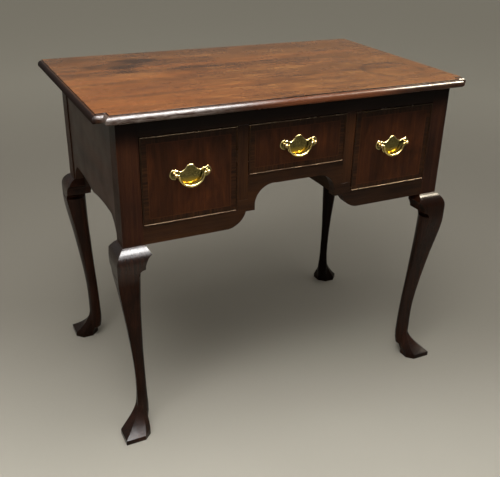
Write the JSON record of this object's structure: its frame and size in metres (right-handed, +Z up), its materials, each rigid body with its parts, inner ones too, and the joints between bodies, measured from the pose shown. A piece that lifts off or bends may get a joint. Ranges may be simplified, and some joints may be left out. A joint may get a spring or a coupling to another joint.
{
  "type": "lowboy",
  "caption": "Wooden lowboy: a low dressing table with a moulded top, drawers around an arched kneehole, brass bail handles and cabriole legs with squared pad feet.",
  "frame": {"origin": "on the floor under the middle of the whole object", "axes": "+X to the right of someone facing the drawers, -Y towards that person, +Z up"},
  "size_m": [0.806, 0.498, 0.7],
  "materials": {
    "top_mahogany": "waxed mahogany, worn and faded to a warm mid brown",
    "case_mahogany": "dark waxed mahogany",
    "drawer_mahogany": "dark waxed mahogany veneer with crossbanding",
    "leg_mahogany": "dark polished mahogany",
    "oak_inside": "unfinished oak, darkened with age",
    "brass": "polished cast brass",
    "brass_nuts": "dull brass"
  },
  "bodies": {
    "case": {"apron": "case_mahogany", "back_board": "oak_inside", "divider_left": "case_mahogany", "divider_right": "case_mahogany", "drawer_stops": "oak_inside", "glue_blocks": "oak_inside", "guides": "oak_inside", "kickers": "oak_inside", "knee_ear_back_left_side": "leg_mahogany", "knee_ear_back_right_side": "leg_mahogany", "knee_ear_front_left_front": "leg_mahogany", "knee_ear_front_left_side": "leg_mahogany", "knee_ear_front_right_front": "leg_mahogany", "knee_ear_front_right_side": "leg_mahogany", "leg_back_left": "leg_mahogany", "leg_back_right": "leg_mahogany", "leg_front_left": "leg_mahogany", "leg_front_right": "leg_mahogany", "partition_left": "oak_inside", "partition_right": "oak_inside", "runners": "oak_inside", "side_left": "case_mahogany", "side_right": "case_mahogany", "top_board": "top_mahogany", "top_rail": "case_mahogany"},
    "drawer_left": {"drawer_left_back": "oak_inside", "drawer_left_bottom": "oak_inside", "drawer_left_cockbead": "case_mahogany", "drawer_left_front": "drawer_mahogany", "drawer_left_nuts": "brass_nuts", "drawer_left_plate": "brass", "drawer_left_posts": "brass", "drawer_left_side_left": "oak_inside", "drawer_left_side_right": "oak_inside"},
    "bail_left": {"drawer_left_bail": "brass"},
    "drawer_centre": {"drawer_centre_back": "oak_inside", "drawer_centre_bottom": "oak_inside", "drawer_centre_cockbead": "case_mahogany", "drawer_centre_front": "drawer_mahogany", "drawer_centre_nuts": "brass_nuts", "drawer_centre_plate": "brass", "drawer_centre_posts": "brass", "drawer_centre_side_left": "oak_inside", "drawer_centre_side_right": "oak_inside"},
    "bail_centre": {"drawer_centre_bail": "brass"},
    "drawer_right": {"drawer_right_back": "oak_inside", "drawer_right_bottom": "oak_inside", "drawer_right_cockbead": "case_mahogany", "drawer_right_front": "drawer_mahogany", "drawer_right_nuts": "brass_nuts", "drawer_right_plate": "brass", "drawer_right_posts": "brass", "drawer_right_side_left": "oak_inside", "drawer_right_side_right": "oak_inside"},
    "bail_right": {"drawer_right_bail": "brass"}
  },
  "joints": [
    {"name": "drawer_left_slide", "type": "slide", "parent": "case", "child": "drawer_left", "axis": [0, -1, 0], "range_m": [0, 0.3]},
    {"name": "bail_left_swing", "type": "hinge", "parent": "drawer_left", "child": "bail_left", "pos_m": [-0.2275, -0.2286, 0.574], "axis": [-1, 0, 0], "range_deg": [0, 85]},
    {"name": "drawer_centre_slide", "type": "slide", "parent": "case", "child": "drawer_centre", "axis": [0, -1, 0], "range_m": [0, 0.3]},
    {"name": "bail_centre_swing", "type": "hinge", "parent": "drawer_centre", "child": "bail_centre", "pos_m": [0, -0.2286, 0.603], "axis": [-1, 0, 0], "range_deg": [0, 85]},
    {"name": "drawer_right_slide", "type": "slide", "parent": "case", "child": "drawer_right", "axis": [0, -1, 0], "range_m": [0, 0.3]},
    {"name": "bail_right_swing", "type": "hinge", "parent": "drawer_right", "child": "bail_right", "pos_m": [0.2275, -0.2286, 0.574], "axis": [-1, 0, 0], "range_deg": [0, 85]}
  ]
}
